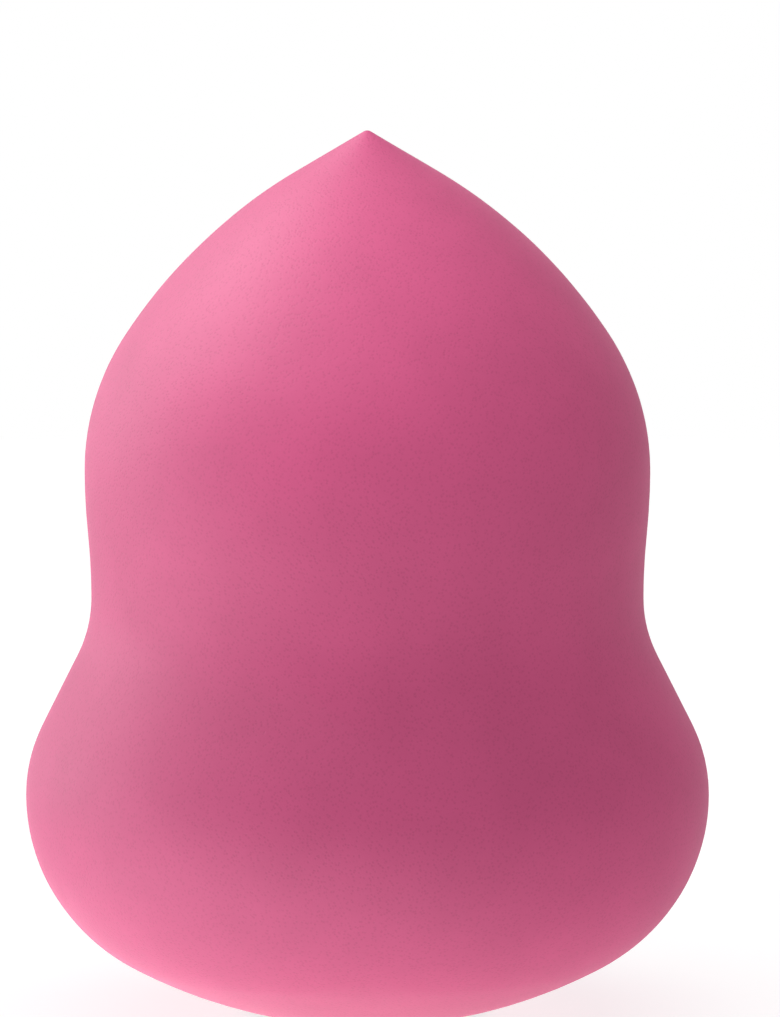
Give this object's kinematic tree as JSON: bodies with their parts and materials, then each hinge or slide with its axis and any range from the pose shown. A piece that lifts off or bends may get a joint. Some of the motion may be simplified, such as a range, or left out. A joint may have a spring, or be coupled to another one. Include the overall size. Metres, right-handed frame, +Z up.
{
  "type": "makeup sponge",
  "caption": "Gourd-shaped foam makeup sponge with a round swelling base, a shallow waist and a pointed tip, for dabbing and blending make-up on skin.",
  "frame": {"origin": "middle of the flat foot, on the surface that the sponge stands on", "axes": "+Z up along the sponge's round axis to the pointed tip, -Y towards the viewer of the picture, +X to the viewer's right"},
  "size_m": [0.045, 0.045, 0.0586],
  "materials": {
    "pink_foam": "soft matte open-cell foam"
  },
  "bodies": {
    "root": {"sponge_body": "pink_foam"}
  },
  "joints": []
}
